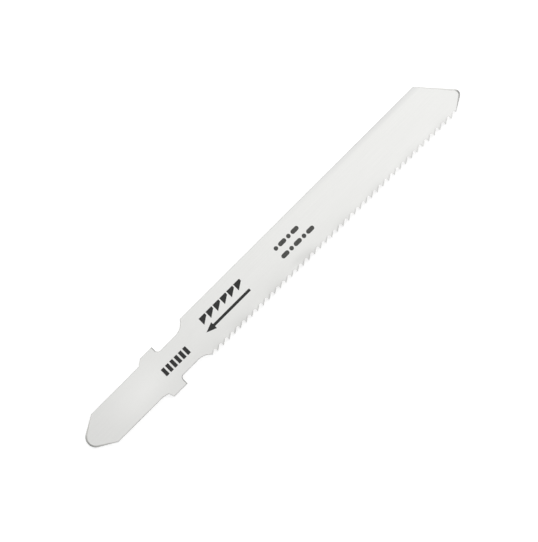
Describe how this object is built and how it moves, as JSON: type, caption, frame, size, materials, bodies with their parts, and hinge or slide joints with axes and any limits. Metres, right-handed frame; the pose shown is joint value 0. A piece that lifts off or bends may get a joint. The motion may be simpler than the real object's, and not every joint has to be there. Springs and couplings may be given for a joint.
{
  "type": "jigsaw blade",
  "caption": "T-shank jigsaw blade for sheet metal: flat steel blade with fine wavy-set teeth, a slanted point and a lugged tang.",
  "frame": {"origin": "on the tang's centreline, half way through the sheet, in the plane of the two lug shoulders that the saw's holder bears on", "axes": "+X along the blade towards its point, +Y from the teeth to the back, +Z through the sheet, so the blade lies flat"},
  "size_m": [0.0919, 0.0092, 0.0014],
  "materials": {
    "steel": "satin"
  },
  "bodies": {
    "root": {"blade": "steel"}
  },
  "joints": []
}
